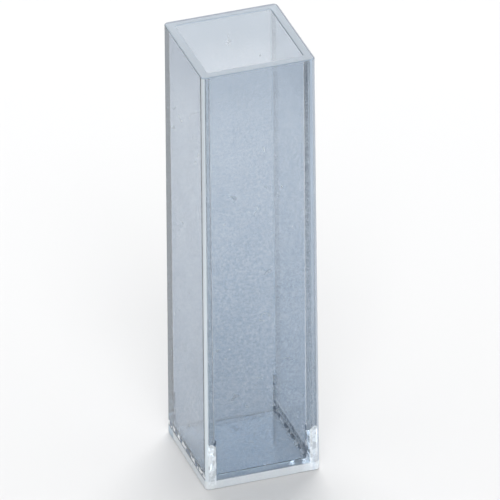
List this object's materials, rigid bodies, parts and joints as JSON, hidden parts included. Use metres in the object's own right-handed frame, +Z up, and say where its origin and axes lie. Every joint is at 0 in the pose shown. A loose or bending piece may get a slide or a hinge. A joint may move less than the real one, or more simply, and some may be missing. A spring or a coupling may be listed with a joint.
{
  "type": "cuvette",
  "caption": "Square clear plastic cuvette: a tall, thin-walled, open-topped cell with a flat floor and polished faces, for holding a liquid sample in a light beam.",
  "frame": {"origin": "centre of the foot, on the surface that the cuvette stands on", "axes": "+Z up along the cuvette to its open rim; +X and +Y square to the faces"},
  "size_m": [0.0122, 0.0122, 0.048],
  "materials": {
    "clear_plastic": "clear, glossy, faintly blue-grey"
  },
  "bodies": {
    "root": {"cuvette": "clear_plastic"}
  },
  "joints": []
}
